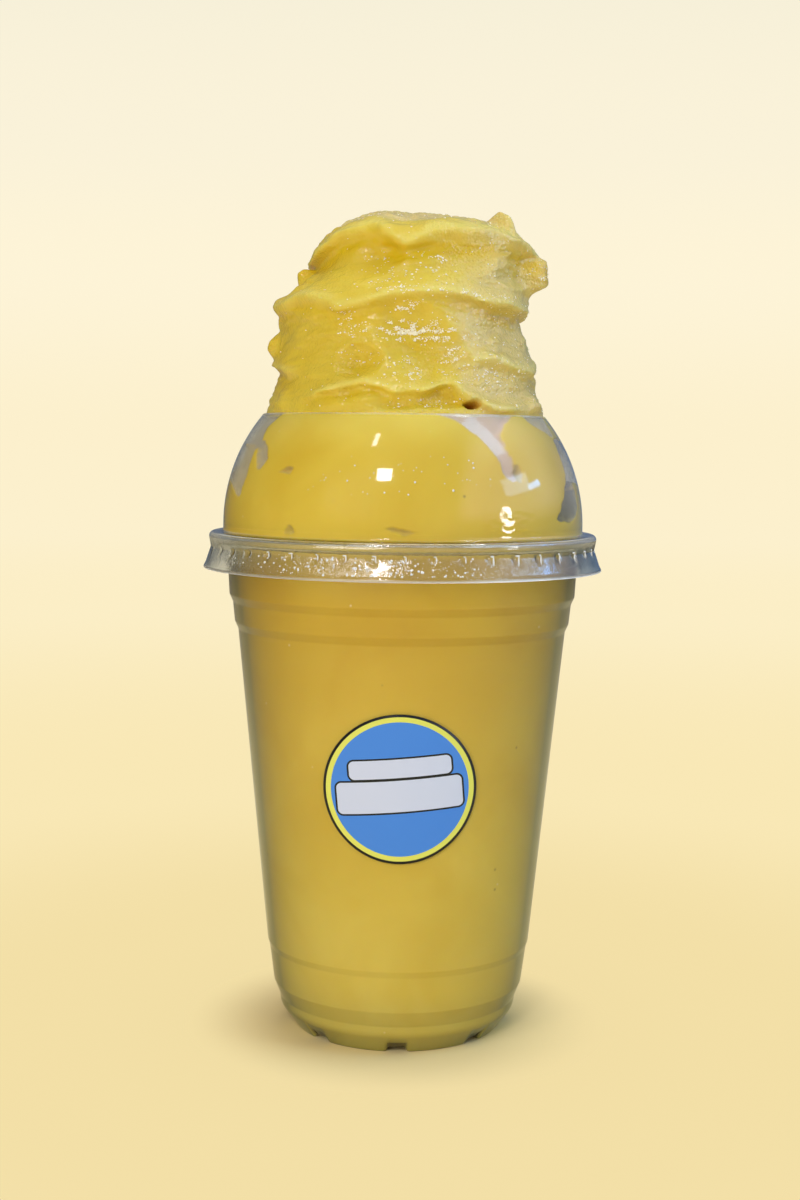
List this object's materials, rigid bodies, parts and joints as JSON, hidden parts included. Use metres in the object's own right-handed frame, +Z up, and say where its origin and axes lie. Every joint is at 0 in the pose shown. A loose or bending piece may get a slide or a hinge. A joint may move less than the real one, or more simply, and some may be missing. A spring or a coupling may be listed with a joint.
{
  "type": "mango smoothie",
  "caption": "Mango smoothie piled in folds above the open dome lid of a clear tapered takeaway cup with a round label.",
  "frame": {"origin": "centre of the foot ring, on the surface that the cup stands on", "axes": "+Z up along the cup's axis, -Y towards the side with the round label, +X to the right seen from that side"},
  "size_m": [0.1028, 0.1028, 0.2107],
  "materials": {
    "smoothie": "moist blended fruit and ice",
    "clear_plastic": "clear thermoformed plastic",
    "label": "printed sticker"
  },
  "bodies": {
    "root": {"smoothie": "smoothie", "cup": "clear_plastic", "lid": "clear_plastic", "label": "label"}
  },
  "joints": []
}
